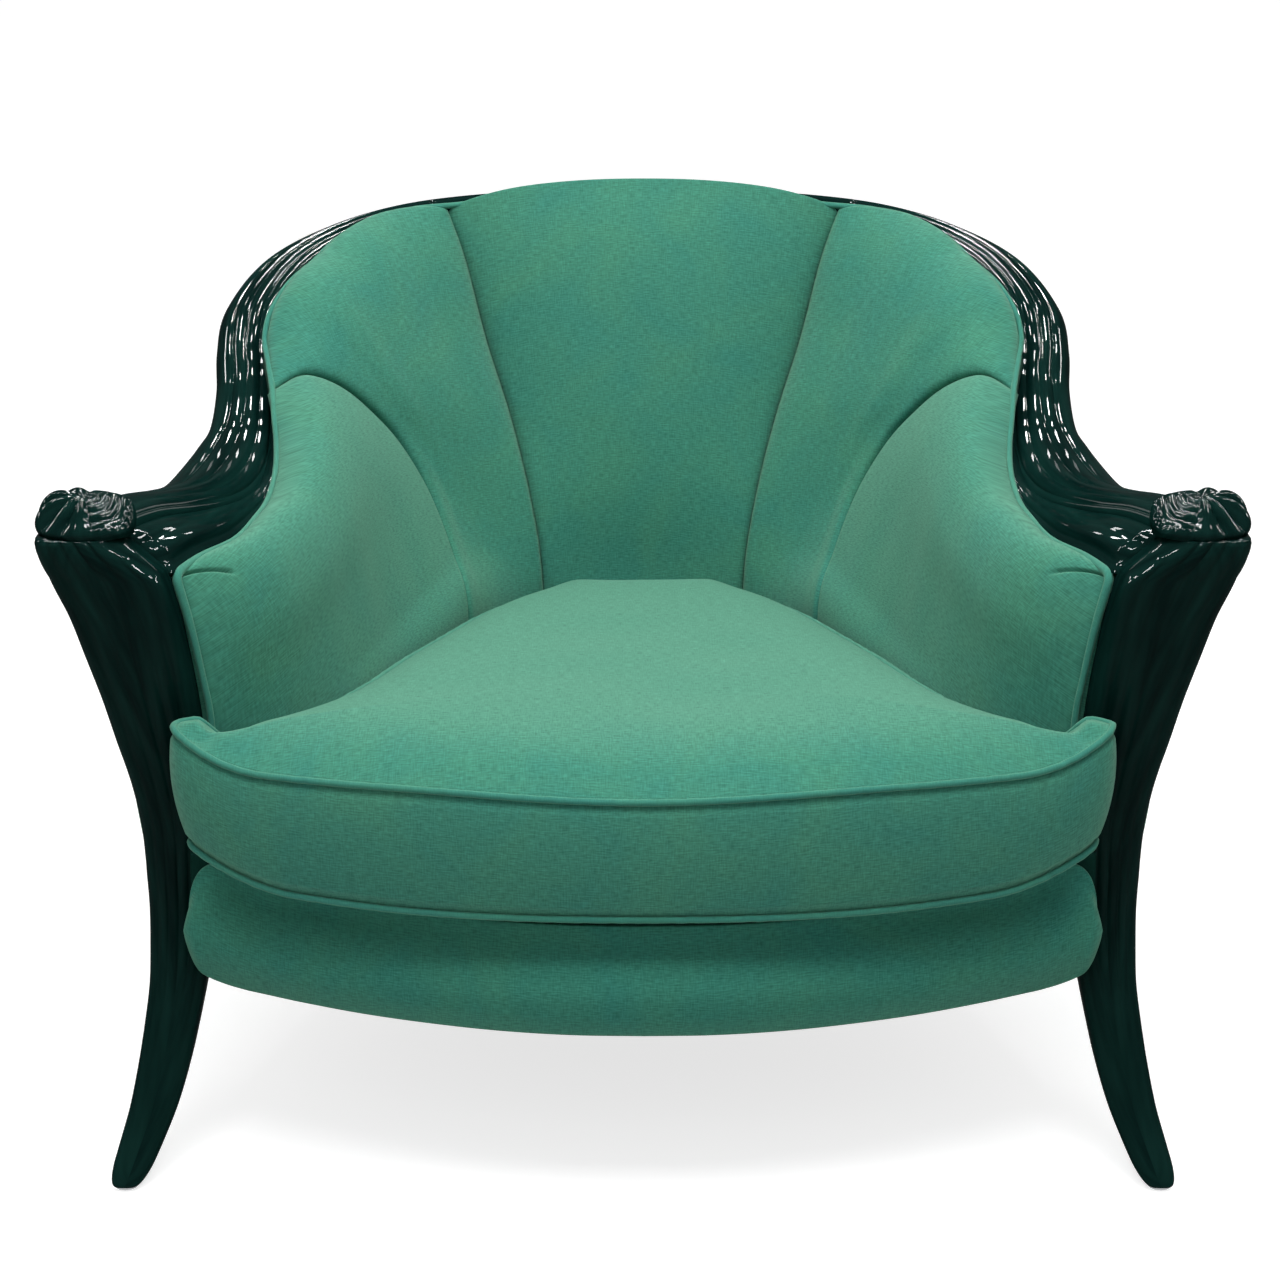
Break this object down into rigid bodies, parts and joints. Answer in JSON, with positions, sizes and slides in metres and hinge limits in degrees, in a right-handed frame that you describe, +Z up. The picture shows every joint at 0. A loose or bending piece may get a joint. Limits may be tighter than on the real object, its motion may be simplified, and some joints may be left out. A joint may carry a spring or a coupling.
{
  "type": "upholstered tub armchair",
  "caption": "Tub armchair with a reeded lacquered show-wood rail, carved scallop arm ends, a channelled scalloped back, a loose piped cushion and sabre legs.",
  "frame": {"origin": "on the floor, under the middle of the plan", "axes": "+Z up, -Y towards the front of the seat, +X towards the arm at the right of the picture"},
  "size_m": [1.1038, 0.917, 0.8344],
  "materials": {
    "lacquer": "high-gloss dark bottle-green lacquer on carved hardwood",
    "cover": "close-cut sea-green velvet with a fine slub",
    "cover_outside": "the same sea-green velvet, in shade",
    "welting": "piping covered in the same velvet",
    "beech": "plain sawn frame wood",
    "birch": "plain turned dowel",
    "steel": "zinc-plated screw",
    "nickel": "nickel-plated glide",
    "webbing": "woven jute strap",
    "deck_cloth": "plain cloth over felted padding",
    "cambric": "thin black dust cloth"
  },
  "bodies": {
    "chair": {"arm_rail_right": "lacquer", "arm_rail_left": "lacquer", "crest_dowel_right": "birch", "crest_dowel_left": "birch", "post_dowel_right": "birch", "post_dowel_left": "birch", "crest_rail": "lacquer", "front_leg_right": "lacquer", "front_leg_left": "lacquer", "rear_leg_right": "lacquer", "rear_leg_left": "lacquer", "front_glide_right": "nickel", "front_glide_left": "nickel", "rear_glide_right": "nickel", "rear_glide_left": "nickel", "front_seat_rail": "beech", "side_seat_rail_right": "beech", "side_seat_rail_left": "beech", "rear_seat_rail": "beech", "back_centre_upright": "beech", "arm_stretcher_right": "beech", "arm_stretcher_left": "beech", "back_stretcher": "beech", "front_corner_block_right": "beech", "front_corner_block_left": "beech", "front_corner_screw_right": "steel", "front_corner_screw_left": "steel", "rear_corner_block_right": "beech", "rear_corner_block_left": "beech", "rear_corner_screw_right": "steel", "rear_corner_screw_left": "steel", "webbing_long_1": "webbing", "webbing_long_2": "webbing", "webbing_long_3": "webbing", "webbing_long_4": "webbing", "webbing_cross_1": "webbing", "webbing_cross_2": "webbing", "webbing_cross_3": "webbing", "webbing_cross_4": "webbing", "seat_deck": "deck_cloth", "dust_cover": "cambric", "frame_welt": "welting", "arm_pad_right": "cover", "arm_pad_left": "cover", "side_channel_right": "cover", "side_channel_left": "cover", "centre_channel": "cover", "front_apron": "cover_outside", "outside_arm_right": "cover_outside", "outside_arm_left": "cover_outside", "outside_back": "cover_outside"},
    "cushion": {"seat_cushion": "cover", "cushion_welt_top": "welting", "cushion_welt_bottom": "welting"}
  },
  "joints": [
    {"name": "cushion_lift", "type": "slide", "parent": "chair", "child": "cushion", "axis": [0, -0.2588, 0.9659], "range_m": [0, 0.42]}
  ]
}
